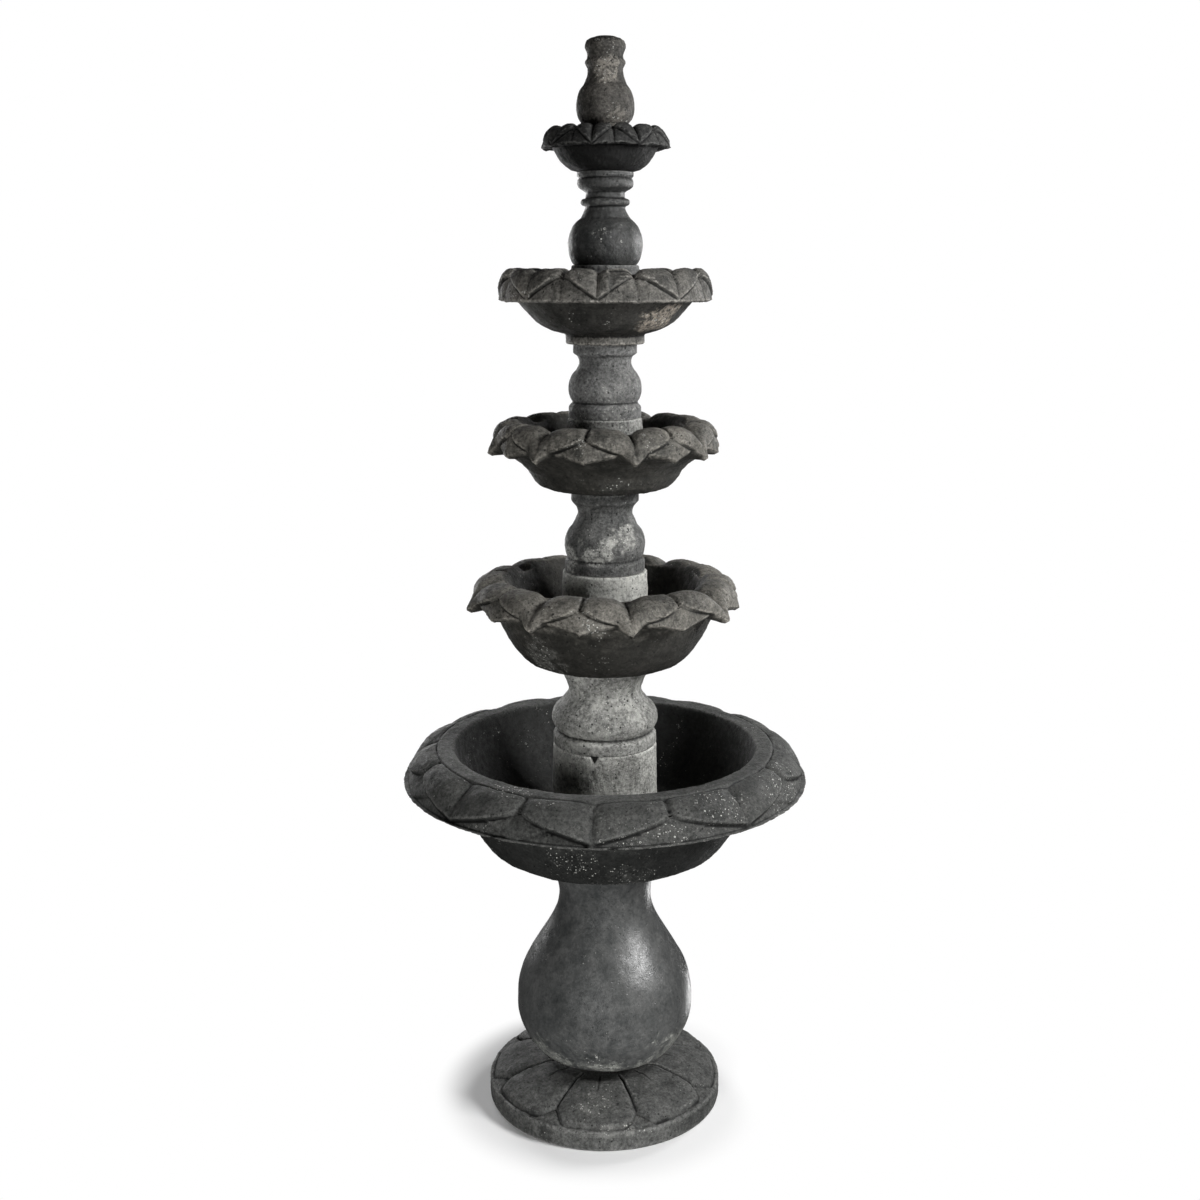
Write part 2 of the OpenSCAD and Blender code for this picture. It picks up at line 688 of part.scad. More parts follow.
// Barbed pipe stub that stands in the top of the pump
outlet_z = pump_z + pump_h - 4;
module pump_outlet() {
    stub_h = lower_column_z - pipe_grip - 2 - outlet_z;
    color(pump_black) translate([0, 0, outlet_z]) difference() {
        union() {
            cylinder(r = pipe_r + 2 - run_gap, h = 10);
            cylinder(r = pipe_r, h = stub_h);
            translate([0, 0, 10]) cylinder(r = pipe_r + 5, h = 3);
        }
        translate([0, 0, -eps]) cylinder(r = pipe_r - pipe_wall, h = stub_h + 2 * eps);
    }
}
module pump_feet() {
    foot_x = [pump_left + 12, pump_right - 12];
    foot_y = [-pump_d / 2 + 12, pump_d / 2 - 12];
    color(rubber_black) for (x = foot_x, y = foot_y) translate([x, y, basin_floor_z]) {
        rotate_extrude()
            polygon([[0, 2], [5, 0.5], [9, 0], [9.5, 1], [4, 4], [4, pump_foot_h], [0, pump_foot_h]]);
    }
}
module cable_gland() {
    color(rubber_black) translate([pump_left, 0, pump_z + 38]) rotate([0, -90, 0]) difference() {
        union() {
            cylinder(r = 8, h = 5);
            cylinder(r1 = 6, r2 = 4.5, h = 16);
        }
        translate([0, 0, 4]) cylinder(r = 3, h = 13);
    }
}
module pump_sleeve() {
    color(rubber_black) pipe_sleeve(lower_column_z - 1);
}
// Steel band round the lower end of the sleeve, with its screw
module hose_clamp() {
    clamp_z = lower_column_z - 1 - sleeve_h + 5;
    color(steel_grey) translate([0, 0, clamp_z]) difference() {
        union() {
            cylinder(r = sleeve_r + 1, h = 9);
            translate([sleeve_r - 1, -6, 1]) cube([6, 12, 7]);
        }
        translate([0, 0, -eps]) cylinder(r = sleeve_r + run_gap, h = 9 + 2 * eps);
    }
}

lotus_base();
pedestal();
base_dowel();
basin();
basin_rim();
basin_dowel();
drain_sleeve();
drain_plug();
pump_cover();
pump_body();
pump_strainer();
impeller();
impeller_shaft();
flow_dial();
pump_outlet();
pump_feet();
cable_gland();
pump_sleeve();
hose_clamp();
lower_column();
lower_bowl();
lower_riser();
lower_pipe();
lower_seal();
lower_sleeve();
middle_column();
middle_bowl();
middle_riser();
middle_pipe();
middle_seal();
middle_sleeve();
upper_column();
upper_bowl();
upper_riser();
upper_pipe();
upper_seal();
upper_sleeve();
top_column();
top_bowl();
top_pipe();
top_seal();
top_sleeve();
finial();
outlet_nozzle();
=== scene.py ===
import json
import math

import bpy
import numpy as np
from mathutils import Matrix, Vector, noise

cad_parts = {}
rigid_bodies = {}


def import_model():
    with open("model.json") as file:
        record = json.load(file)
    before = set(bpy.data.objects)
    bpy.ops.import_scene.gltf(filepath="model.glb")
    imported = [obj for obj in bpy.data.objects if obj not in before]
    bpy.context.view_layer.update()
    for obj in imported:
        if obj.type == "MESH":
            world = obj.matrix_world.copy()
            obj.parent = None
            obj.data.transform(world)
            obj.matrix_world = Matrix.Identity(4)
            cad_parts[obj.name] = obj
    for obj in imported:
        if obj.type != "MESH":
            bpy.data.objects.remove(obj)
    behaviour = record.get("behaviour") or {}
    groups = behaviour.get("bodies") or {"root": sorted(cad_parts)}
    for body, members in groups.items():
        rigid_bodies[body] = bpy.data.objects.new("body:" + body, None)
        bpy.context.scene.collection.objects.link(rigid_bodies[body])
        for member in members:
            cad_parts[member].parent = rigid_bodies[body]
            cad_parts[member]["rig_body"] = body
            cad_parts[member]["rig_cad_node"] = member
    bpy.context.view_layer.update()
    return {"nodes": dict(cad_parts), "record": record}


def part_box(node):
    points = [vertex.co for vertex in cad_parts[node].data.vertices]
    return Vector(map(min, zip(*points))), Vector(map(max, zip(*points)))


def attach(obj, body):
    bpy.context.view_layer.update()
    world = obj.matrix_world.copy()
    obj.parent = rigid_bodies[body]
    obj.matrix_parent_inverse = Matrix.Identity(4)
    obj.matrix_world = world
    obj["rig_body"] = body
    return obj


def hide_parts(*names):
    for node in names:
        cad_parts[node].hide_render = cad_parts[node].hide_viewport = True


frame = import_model()


# ---- Where it stands ----
# A pale studio floor in front of a white wall of light. A soft lamp stands high on the right, and a broad one
# low in front. Two behind draw a light edge down the stones. Two low ones give what the floor throws back.
floor_side = 80
floor_drop = 0.0005
shade_end, white_from = 0.27, 0.36
bpy.ops.object.select_all(action="DESELECT")
bpy.ops.mesh.primitive_plane_add(size=floor_side, location=(0, 0, -floor_drop))
floor = bpy.context.object
floor.name = "studio_floor"
floor_paint = bpy.data.materials.new("pale_floor")
floor_paint.use_nodes = True
floor_shader = floor_paint.node_tree.nodes["Principled BSDF"]
floor_shader.inputs["Base Color"].default_value = (0.93, 0.93, 0.93, 1)
floor_shader.inputs["Roughness"].default_value = 0.9
glow = floor_paint.node_tree.nodes.new("ShaderNodeEmission")
reach = floor_paint.node_tree.nodes.new("ShaderNodeVectorMath")
reach.operation = "LENGTH"
far = floor_paint.node_tree.nodes.new("ShaderNodeMapRange")
far.interpolation_type = "SMOOTHSTEP"
far.inputs["From Min"].default_value = shade_end
far.inputs["From Max"].default_value = white_from
place = floor_paint.node_tree.nodes.new("ShaderNodeTexCoord")
fade = floor_paint.node_tree.nodes.new("ShaderNodeMixShader")
for source, out, target, into in (
    (place, "Object", reach, 0),
    (reach, "Value", far, "Value"),
    (far, "Result", fade, "Fac"),
    (floor_shader, "BSDF", fade, 1),
    (glow, "Emission", fade, 2),
    (fade, "Shader", floor_paint.node_tree.nodes["Material Output"], "Surface"),
):
    floor_paint.node_tree.links.new(source.outputs[out], target.inputs[into])
floor.data.materials.append(floor_paint)
floor.visible_diffuse = False
floor.visible_glossy = False
floor.visible_shadow = False

# The white that is seen is brighter than the light that falls on the stones, which comes mostly from above
# and from the wall behind
light_below, light_above, wall_light = 0.62, 0.72, 1.5
sky = bpy.data.worlds.new("white_sky")
sky.use_nodes = True
sky_nodes, sky_links = sky.node_tree.nodes, sky.node_tree.links
fill = sky_nodes["Background"]
seen = sky_nodes.new("ShaderNodeBackground")
seen.inputs["Color"].default_value = (1, 1, 1, 1)
ray = sky_nodes.new("ShaderNodeLightPath")
either = sky_nodes.new("ShaderNodeMixShader")
direction = sky_nodes.new("ShaderNodeTexCoord")
upward = sky_nodes.new("ShaderNodeSeparateXYZ")
fall_off = sky_nodes.new("ShaderNodeMapRange")
fall_off.inputs["From Min"].default_value = -0.6
fall_off.inputs["From Max"].default_value = 0.9
fall_off.inputs["To Min"].default_value = light_below
fall_off.inputs["To Max"].default_value = light_above
sky_links.new(direction.outputs["Generated"], upward.inputs[0])
sky_links.new(upward.outputs["Z"], fall_off.inputs["Value"])
wall = sky_nodes.new("ShaderNodeMapRange")
wall.interpolation_type = "SMOOTHSTEP"
wall.inputs["From Min"].default_value = 0.6
wall.inputs["From Max"].default_value = 0.95
wall.inputs["To Max"].default_value = wall_light
both = sky_nodes.new("ShaderNodeMath")
sky_links.new(upward.outputs["Y"], wall.inputs["Value"])
sky_links.new(fall_off.outputs["Result"], both.inputs[0])
sky_links.new(wall.outputs["Result"], both.inputs[1])
sky_links.new(both.outputs[0], fill.inputs["Strength"])
sky_links.new(ray.outputs["Is Camera Ray"], either.inputs["Fac"])
sky_links.new(fill.outputs[0], either.inputs[1])
sky_links.new(seen.outputs[0], either.inputs[2])
sky_links.new(either.outputs[0], sky_nodes["World Output"].inputs["Surface"])
bpy.context.scene.world = sky
bpy.context.scene.view_settings.view_transform = "Standard"


def soft_lamp(name, place, aim, size, power, shine=True):
    """A square lamp aimed at a point. Without shine it lights the stones but leaves no highlight on them."""
    bpy.ops.object.light_add(type="AREA", location=place)
    lamp = bpy.context.object
    lamp.name = name
    lamp.data.size = size
    lamp.data.energy = power
    lamp.rotation_euler = (Vector(aim) - Vector(place)).to_track_quat("-Z", "Y").to_euler()
    lamp.visible_glossy = shine


soft_lamp("key_lamp", (2.6, -1.25, 2.4), (0, 0, 0.8), 0.9, 118)
soft_lamp("front_lamp", (-0.9, -3.2, 0.6), (0, 0, 0.6), 1.6, 78, shine=False)
soft_lamp("floor_bounce", (0.3, -1.5, -0.8), (0, 0, 0.2), 1.0, 17, shine=False)
soft_lamp("edge_lamp", (1.9, 1.9, 1.7), (0, 0, 0.3), 0.8, 32)
soft_lamp("floor_glow", (1.5, 2.2, -0.9), (0, 0, 0.3), 0.6, 7)
soft_lamp("back_lamp", (-1.6, 3.0, 1.3), (0, 0, 0.9), 2.0, 75)

camera_aside = -0.0096
camera_reach = 2.826
camera_height = 1.689
camera_pitch = math.radians(12.73)
camera_lens = 44.48
bpy.ops.object.camera_add(
    location=(camera_aside, -camera_reach, camera_height), rotation=(math.pi / 2 - camera_pitch, 0, 0)
)
camera = bpy.context.object
camera.data.lens = camera_lens
bpy.context.scene.camera = camera


# ---- Lotus base ----
# A round slab of carved lava stone, 478 mm across, with a plain upright edge 40 mm high.
# Eight flat petals rise inwards to the seat of the pedestal, with a small leaf between each pair.
mm = 0.001
white_lime = (0.5, 0.5, 0.465)


def stone_look(
    name, deep, mid, high, grain=1.0, specks=0.5, patch=0.0, *,
    seed, gloss=(0.55, 0.9), lime_and_painted_light=(), lime_and_painted_light_tone=white_lime, relief=0.0035,
):
    """Lava stone with cloudy tone, grain, pits, white specks, lime and painted shade.

    Lime lies in patches all over, and at each place (x, y, z) within reach, both in mm, by its cover; a place
    may stand for painted light instead.
    """
    look = bpy.data.materials.new(name)
    look.use_nodes = True
    tree = look.node_tree
    shader = tree.nodes["Principled BSDF"]
    shader.inputs["Specular IOR Level"].default_value = 0.4

    def add(kind, **values):
        made = tree.nodes.new(kind)
        for key, value in values.items():
            if key.startswith("_"):
                made.inputs[key[1:].replace("_", " ")].default_value = value
            else:
                setattr(made, key, value)
        return made

    def join(a, out, b, into):
        tree.links.new(a.outputs[out], b.inputs[into])

    def ramp(source, out, start, stop, least=0.0, most=1.0):
        made = add("ShaderNodeMapRange", interpolation_type="SMOOTHSTEP")
        for key, value in (("From Min", start), ("From Max", stop), ("To Min", least), ("To Max", most)):
            made.inputs[key].default_value = value
        join(source, out, made, "Value")
        return made

    def blend(factor, a, b, mode="MIX"):
        """Mixes colour a with colour b, each a node or a constant."""
        made = add("ShaderNodeMix", data_type="RGBA", blend_type=mode)
        for socket, value in ((6, a), (7, b)):
            if isinstance(value, tuple):
                made.inputs[socket].default_value = (*value, 1)
            else:
                out = 2 if value.bl_idname == "ShaderNodeMix" else 0
                tree.links.new(value.outputs[out], made.inputs[socket])
        if isinstance(factor, float):
            made.inputs[0].default_value = factor
        else:
            tree.links.new(factor.outputs[0], made.inputs[0])
        return made

    def work(operation, a, b):
        made = add("ShaderNodeMath", operation=operation)
        for socket, value in enumerate((a, b)):
            if isinstance(value, float):
                made.inputs[socket].default_value = value
            else:
                tree.links.new(value.outputs[0], made.inputs[socket])
        return made

    where = add("ShaderNodeTexCoord")
    shifted = add("ShaderNodeMapping", _Location=(seed, seed * 0.7, seed * 1.3))
    join(where, "Object", shifted, "Vector")

    def cloud(scale, detail=6.0, rough=0.6, warp=0.0, squash=None):
        source = shifted
        if squash:
            source = add("ShaderNodeMapping", _Scale=squash)
            join(shifted, "Vector", source, "Vector")
        made = add("ShaderNodeTexNoise", _Scale=scale, _Detail=detail, _Roughness=rough, _Distortion=warp)
        join(source, "Vector", made, "Vector")
        return made

    def spots(scale, share, least, most):
        """Round spots, from least to most across, in a share of the cells."""
        cells = add("ShaderNodeTexVoronoi", _Scale=scale)
        join(shifted, "Vector", cells, "Vector")
        chance = add("ShaderNodeSeparateColor")
        join(cells, "Color", chance, "Color")
        reach = ramp(chance, "Green", 0.0, 1.0, least, most)
        chosen = ramp(chance, "Red", 1 - share, 1.02 - share)
        inside = work("SUBTRACT", reach, cells)
        return work("MULTIPLY", ramp(inside, "Value", 0.0, 0.08), chosen)

    broad = ramp(cloud(6.0, 6.0, 0.62, 0.5), "Fac", 0.36, 0.66)
    middling = ramp(cloud(34.0, 7.0, 0.68), "Fac", 0.34, 0.68)
    coarse = cloud(170.0, 5.0, 0.8)
    runs = ramp(cloud(15.0, 5.0, 0.62, 0.3, (1.0, 1.0, 0.15)), "Fac", 0.44, 0.74)

    tone = blend(broad, deep, mid)
    tone = blend(work("MULTIPLY", middling, 0.5), tone, high)
    tone = blend(work("MULTIPLY", runs, 0.45), tone, deep)
    sand = ramp(coarse, "Fac", 0.30, 0.70, 1.0 - 0.5 * grain, 1.0 + 0.75 * grain)
    tone = blend(1.0, tone, sand, "MULTIPLY")

    # Painted shade: darker where the surface faces into a bowl and where it faces down under a bowl
    damp = add("ShaderNodeAttribute", attribute_name="damp")
    tone = blend(ramp(damp, "Fac", 0.0, 1.0, 0.0, 0.85), tone, tuple(c * 0.5 for c in deep))

    # Lime, and painted light where a place stands for it: soft pale patches with broken edges, and small
    # white specks that gather in them
    crumbs = ramp(cloud(110.0, 6.0, 0.78), "Fac", 0.38, 0.60)
    patches = cloud(10.0, 8.0, 0.7, 0.9)
    lime_and_painted_light_share = ramp(patches, "Fac", 0.60 - 0.16 * patch, 0.76 - 0.12 * patch, 0.0, min(1.0, patch * 1.3))
    dusty = ramp(cloud(20.0, 5.0, 0.72), "Fac", 0.64 - 0.2 * specks, 0.78 - 0.2 * specks)
    for place, reach, cover in lime_and_painted_light:
        near = add("ShaderNodeVectorMath", operation="DISTANCE")
        join(where, "Object", near, 0)
        near.inputs[1].default_value = tuple(v * mm for v in place)
        fringe = 0.5 * reach * mm
        ragged = work("ADD", ramp(cloud(26.0, 6.0, 0.7, 0.6), "Fac", 0.3, 0.7, -fringe, fringe), 0.0)
        tree.links.new(near.outputs["Value"], ragged.inputs[1])
        dried = ramp(ragged, "Value", reach * mm, 0.55 * reach * mm)
        dusty = work("MAXIMUM", dusty, dried)
        lime_and_painted_light_share = work("MAXIMUM", lime_and_painted_light_share, work("MULTIPLY", dried, cover))
    tone = blend(work("MULTIPLY", work("MULTIPLY", lime_and_painted_light_share, crumbs), 0.85), tone, lime_and_painted_light_tone)
    gather = work("MAXIMUM", dusty, lime_and_painted_light_share)
    flecks = ramp(cloud(260.0, 4.0, 0.7), "Fac", 0.62, 0.72)
    small_white = work("MAXIMUM", spots(280.0, 0.25, 0.15, 0.4), flecks)
    white = work("MAXIMUM", spots(130.0, 0.16, 0.06, 0.4), small_white)
    tone = blend(work("MULTIPLY", work("MULTIPLY", white, gather), 0.95), tone, (0.62, 0.62, 0.58))
    pits = work("MAXIMUM", spots(130.0, 0.4, 0.05, 0.3), spots(75.0, 0.12, 0.05, 0.22))
    tone = blend(work("MULTIPLY", pits, min(1.0, 0.75 * grain)), tone, tuple(c * 0.3 for c in deep))

    # Rubbed edges are paler, and the bottoms of creases and cuts are darkened as painted shade
    rub = add("ShaderNodeAttribute", attribute_name="rub")
    raised = ramp(rub, "Fac", 0.05, 0.8, 0.0, 0.6)
    painted_crease_shade = ramp(rub, "Fac", -0.04, -0.5, 0.0, 0.9)
    worn = work("MULTIPLY", raised, ramp(coarse, "Fac", 0.35, 0.6))
    tone = blend(worn, tone, tuple(min(1.0, c * 2.2) for c in high))
    tone = blend(painted_crease_shade, tone, tuple(c * 0.2 for c in deep))
    tree.links.new(tone.outputs[2], shader.inputs["Base Color"])
    join(ramp(cloud(70.0, 6.0, 0.75), "Fac", 0.3, 0.7, gloss[0], gloss[1]), "Result", shader, "Roughness")

    # Grain and pits in the surface
    height = work("ADD", work("MULTIPLY", coarse, 0.8), work("MULTIPLY", cloud(420.0, 3.0, 0.7), 0.25))
    height = work("SUBTRACT", height, work("MULTIPLY", pits, 0.6))
    bump = add("ShaderNodeBump", _Strength=min(1.0, 0.75 * grain), _Distance=relief)
    join(height, "Value", bump, "Height")
    join(bump, "Normal", shader, "Normal")
    return look


weld = 0.02 * mm


def turned(name, outline, steps):
    """A stone turned from an outline of (radius, height) in mm, drawn point by point and spun once round."""
    bpy.ops.object.select_all(action="DESELECT")
    bpy.ops.mesh.primitive_plane_add(size=2 * mm)
    piece = bpy.context.object
    piece.name = name
    bpy.ops.object.mode_set(mode="EDIT")
    bpy.ops.mesh.select_all(action="SELECT")
    bpy.ops.mesh.merge(type="CENTER")
    r0, z0 = outline[0]
    bpy.ops.transform.translate(value=(r0 * mm, 0, z0 * mm))
    for r, z in outline[1:]:
        bpy.ops.mesh.extrude_region_move(TRANSFORM_OT_translate={"value": ((r - r0) * mm, 0, (z - z0) * mm)})
        r0, z0 = r, z
    bpy.ops.object.mode_set(mode="OBJECT")
    lathe = piece.modifiers.new("lathe", "SCREW")
    lathe.steps = lathe.render_steps = steps
    lathe.use_merge_vertices = True
    lathe.merge_threshold = weld
    bpy.ops.object.modifier_apply(modifier="lathe")
    bpy.ops.object.mode_set(mode="EDIT")
    bpy.ops.mesh.select_all(action="SELECT")
    bpy.ops.mesh.remove_doubles(threshold=weld)
    bpy.ops.mesh.normals_make_consistent(inside=False)
    bpy.ops.object.mode_set(mode="OBJECT")
    return piece


def points_of(piece):
    """The piece's points in mm, one row each."""
    flat = np.zeros(len(piece.data.vertices) * 3)
    piece.data.vertices.foreach_get("co", flat)
    return flat.reshape(-1, 3) / mm


def put_points(piece, points):
    piece.data.vertices.foreach_set("co", (points * mm).ravel())
    piece.data.update()


def smooth_step(value, low, high):
    """0 below low, 1 above high, and a smooth rise between."""
    share = np.clip((value - low) / (high - low), 0, 1)
    return share * share * (3 - 2 * share)


def carve(piece, outline, rule):
    """Moves each point of a turned piece to the radius and height that rule gives for its row and bearing."""
    points = points_of(piece)
    radius = np.hypot(points[:, 0], points[:, 1])
    bearing = np.degrees(np.arctan2(points[:, 0], -points[:, 1]))
    rows = np.array(outline)
    row = np.zeros(len(points), int)
    batch = 20000
    for start in range(0, len(points), batch):
        part = slice(start, start + batch)
        far = (radius[part, None] - rows[None, :, 0]) ** 2 + (points[part, 2, None] - rows[None, :, 1]) ** 2
        row[part] = far.argmin(1)
    r, z = rule(row, bearing, rows[row, 0], rows[row, 1])
    turn = np.radians(bearing)
    put_points(piece, np.stack([r * np.sin(turn), -r * np.cos(turn), z], 1))


def normals_of(piece):
    """The direction in which each point faces, one row each."""
    flat = np.zeros(len(piece.data.vertices) * 3)
    piece.data.vertices.foreach_get("normal", flat)
    return flat.reshape(-1, 3)


def sharpness_of(piece, passes):
    """How far each point stands out of (above 0) or lies in (below 0) the surface round it, per mm."""
    mesh = piece.data
    ends = np.zeros(len(mesh.edges) * 2, int)
    mesh.edges.foreach_get("vertices", ends)
    a, b = ends.reshape(-1, 2).T
    points, normals = points_of(piece), normals_of(piece)
    step = points[b] - points[a]
    least_square = 0.05
    bend = ((normals[b] - normals[a]) * step).sum(1) / (step**2).sum(1).clip(least_square)
    count = np.bincount(a, minlength=len(points)) + np.bincount(b, minlength=len(points))
    count = np.maximum(count, 1)
    value = (np.bincount(a, bend, len(points)) + np.bincount(b, bend, len(points))) / count
    for _ in range(passes):
        spread = np.bincount(a, value[b], len(points)) + np.bincount(b, value[a], len(points))
        value = 0.5 * value + 0.5 * spread / count
    return value


def off_seats(points, flat):
    """1 away from the seats, whose heights are in flat, and 0 on them, so that they stay true."""
    keep = np.ones(len(points))
    for height in flat:
        keep *= smooth_step(np.abs(points[:, 2] - height), 0.6, 5.0)
    return keep


def weather(piece, depth, size, flat, seed):
    """Roughens a stone along its normals by depth mm of noise of that size, but not on the seats."""
    points = points_of(piece)
    shift = Vector((seed, seed * 1.7, seed * 0.3))
    rough = np.array([noise.fractal(Vector(p) / size + shift, 0.9, 2.1, 3) for p in points])
    keep = off_seats(points, flat)
    put_points(piece, points + normals_of(piece) * (rough * depth * keep)[:, None])


def chip(piece, depth, size, flat, seed):
    """Breaks the sharp edges of a stone back by up to depth mm, here and there."""
    points = points_of(piece)
    edge = smooth_step(sharpness_of(piece, 3), 0.035, 0.16)
    shift = Vector((seed, seed * 2.1, seed * 0.7))
    at = np.nonzero(edge > 0.01)[0]
    bite = np.zeros(len(points))
    bite[at] = [noise.fractal(Vector(points[i]) / size + shift, 0.8, 2.0, 3) for i in at]
    bite = smooth_step(bite, 0.0, 0.45) * edge * off_seats(points, flat) * depth
    put_points(piece, points - normals_of(piece) * bite[:, None])


def mark_rubbed(piece, gain, under_shade=0.0, cut=()):
    """Writes for the material how sharp each point is, and painted shade inside a bowl and, by the given
    share, under it.
    """
    points, normals = points_of(piece), normals_of(piece)
    # Above 0 a sharp edge, for paler wear; below 0 a crease, darkened as painted shade; the points of a cut
    # are set darkest
    rub = np.clip(sharpness_of(piece, 2) * gain, -1, 1)
    rub[list(cut)] = -1
    # Painted shade: on faces turned into a bowl, and by the given share on faces turned down
    inward = -(points[:, :2] * normals[:, :2]).sum(1) / np.hypot(points[:, 0], points[:, 1]).clip(1)
    damp = np.maximum(0.88 * smooth_step(inward, 0.25, 0.75), under_shade * smooth_step(-normals[:, 2], 0.1, 0.5))
    for name, value in (("rub", rub), ("damp", damp)):
        layer = piece.data.attributes.new(name, "FLOAT", "POINT")
        layer.data.foreach_set("value", value.astype(np.float32))


def finish_piece(piece, body, slot, look, *nodes):
    """Smooths and paints a stone, and puts it on its body in place of the nodes that it stands for."""
    for face in piece.data.polygons:
        face.use_smooth = True
    piece.data.materials.clear()
    piece.data.materials.append(look)
    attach(piece, body)
    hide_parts(*nodes)


def run(start, end, count):
    """Evenly spaced points from start up to, but not at, end."""
    width, rise = end[0] - start[0], end[1] - start[1]
    return [(start[0] + width * i / count, start[1] + rise * i / count) for i in range(count)]


petals = 8
petal_span = 360 / petals
half_petal = petal_span / 2


def petal_place(bearing, turn):
    """How far across its petal each bearing lies, from -1 to 1 with the tip at 0, and the petal's number."""
    number = np.floor((bearing - turn) / petal_span + 0.5)
    return (bearing - turn - petal_span * number) / half_petal, number.astype(int) % petals


dice = np.random.default_rng(7)
low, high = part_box("lotus_base")
base_r = high[0] / mm
base_h = high[2] / mm
edge_h = 40
petal_end_r = 118
seat_r = 80
bore_r = 12
bore_depth = 30
petal_rows = 64
seat_rows = 20
outline = (
    run((0, 0), (base_r - 6, 0), 14)
    + [(base_r - 4, 0), (base_r - 1.5, 0.7), (base_r - 0.2, 2.5)]
    + run((base_r, 5), (base_r, edge_h - 5), 12)
    + [(base_r - 0.4, edge_h - 3), (base_r - 2, edge_h - 0.8), (base_r - 4, edge_h)]
)
first_petal_row = len(outline)
outline += run((base_r - 6, edge_h), (petal_end_r, base_h), petal_rows)
last_petal_row = len(outline)
outline += run((petal_end_r, base_h), (seat_r, base_h), seat_rows)
outline += run((seat_r, base_h), (bore_r, base_h), 9)
outline += run((bore_r, base_h), (bore_r, base_h - bore_depth), 4)
outline += [(bore_r, base_h - bore_depth), (0, base_h - bore_depth)]
base_turn = -5
tilt = dice.uniform(-1, 1, petals)


def base_rule(row, bearing, r, z):
    """Raises the petals on the top of the base. t runs from the outer edge (0) to the seat (1)."""
    across, number = petal_place(bearing, base_turn + 1.6 * np.sin(np.radians(bearing * 2)))
    t = np.clip((row - first_petal_row) / (last_petal_row - first_petal_row), 0, 1.3)
    on_top = (row >= first_petal_row) & (row <= last_petal_row + seat_rows)
    side = np.abs(across)
    # Each petal ends in a broad round lip; the small leaf between two petals lies lower
    lip = 0.045 + 0.02 * tilt[number] * across + 0.24 * smooth_step(side, 0.55, 1.0) ** 2.0
    crown = 5.0 * np.sqrt(np.clip(t * 3, 0, 1)) * (1 - side**2.4) * np.clip(1 - 0.75 * t, 0, 1)
    above = smooth_step(t, lip - 0.01, lip + 0.02)
    leaf = smooth_step(t, 0.03, 0.05) * (1 - above)
    dome = 6.0 * np.sqrt(np.clip((t - lip) / 0.35, 0, 1)) * (1 - smooth_step(t, 0.3, 1.0))
    cut = np.exp(-(((1 - side) * half_petal * (1.0 - 0.3 * t)) / 0.8) ** 2)
    cut *= smooth_step(t, lip - 0.02, lip + 0.05)
    rib = np.exp(-((side * half_petal) / 1.2) ** 2) * smooth_step(t, 0.6, 0.9)
    gutter = np.exp(-((t - lip + 0.012) / 0.014) ** 2)
    rise = (4.0 * above + 1.5 * leaf + dome * above + crown) * (1 - smooth_step(t, 0.9, 1.15))
    groove = (5.0 + 2.5 * smooth_step(t, 0.7, 1.0)) * cut + 5.0 * gutter + 1.6 * rib
    return r, z + np.where(on_top, rise - groove * (1 - smooth_step(t, 1.15, 1.25)), 0)


base_steps = 560
lotus_base = turned("lotus_base_stone", outline, base_steps)
carve(lotus_base, outline, base_rule)
weather(lotus_base, 1.0, 24, flat=(0, base_h), seed=1.0)
chip(lotus_base, 4.5, 9, flat=(0, base_h), seed=2.0)
weather(lotus_base, 0.45, 5, flat=(0, base_h), seed=2.0)
mark_rubbed(lotus_base, 6.0)
rough_dark = stone_look(
    "rough_dark_stone", (0.025, 0.026, 0.025), (0.066, 0.067, 0.064), (0.13, 0.13, 0.124), 1.1, 0.5, seed=3.0,
    lime_and_painted_light=[((5, -236, 40), 20, 0.2), ((45, -232, 42), 18, 0.2), ((-20, -180, 58), 36, 0.12)],
)
finish_piece(lotus_base, "stand", "dark_stone", rough_dark, "lotus_base")


# ---- Pedestal ----
# A pear 433 mm tall, turned and rubbed smooth, so it takes a soft shine. It widens at the seat of the basin.
# It stands on the base on a hidden foot, centred by a steel pin.
def worn_copy(name, node, voxel, soften):
    """A stone with the shape of a CAD node, re-cut in an even mesh so that its edges are slightly worn."""
    piece = frame["nodes"][node].copy()
    piece.data = piece.data.copy()
    piece.name = name
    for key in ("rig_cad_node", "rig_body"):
        del piece[key]
    piece.parent = None
    bpy.context.scene.collection.objects.link(piece)
    bpy.ops.object.select_all(action="DESELECT")
    piece.select_set(True)
    bpy.context.view_layer.objects.active = piece
    bpy.ops.object.mode_set(mode="EDIT")
    bpy.ops.mesh.select_all(action="SELECT")
    bpy.ops.mesh.remove_doubles(threshold=0.005 * mm)
    bpy.ops.object.mode_set(mode="OBJECT")
    remesh = piece.modifiers.new("even", "REMESH")
    remesh.mode = "VOXEL"
    remesh.voxel_size = voxel * mm
    bpy.ops.object.modifier_apply(modifier="even")
    relax = piece.modifiers.new("soften", "SMOOTH")
    relax.factor = 0.5
    relax.iterations = soften
    bpy.ops.object.modifier_apply(modifier="soften")
    return piece


def flats_of(node):
    """The heights of a stone's two seats in mm: its bottom and its top."""
    low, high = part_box(node)
    return (low[2] / mm, high[2] / mm)


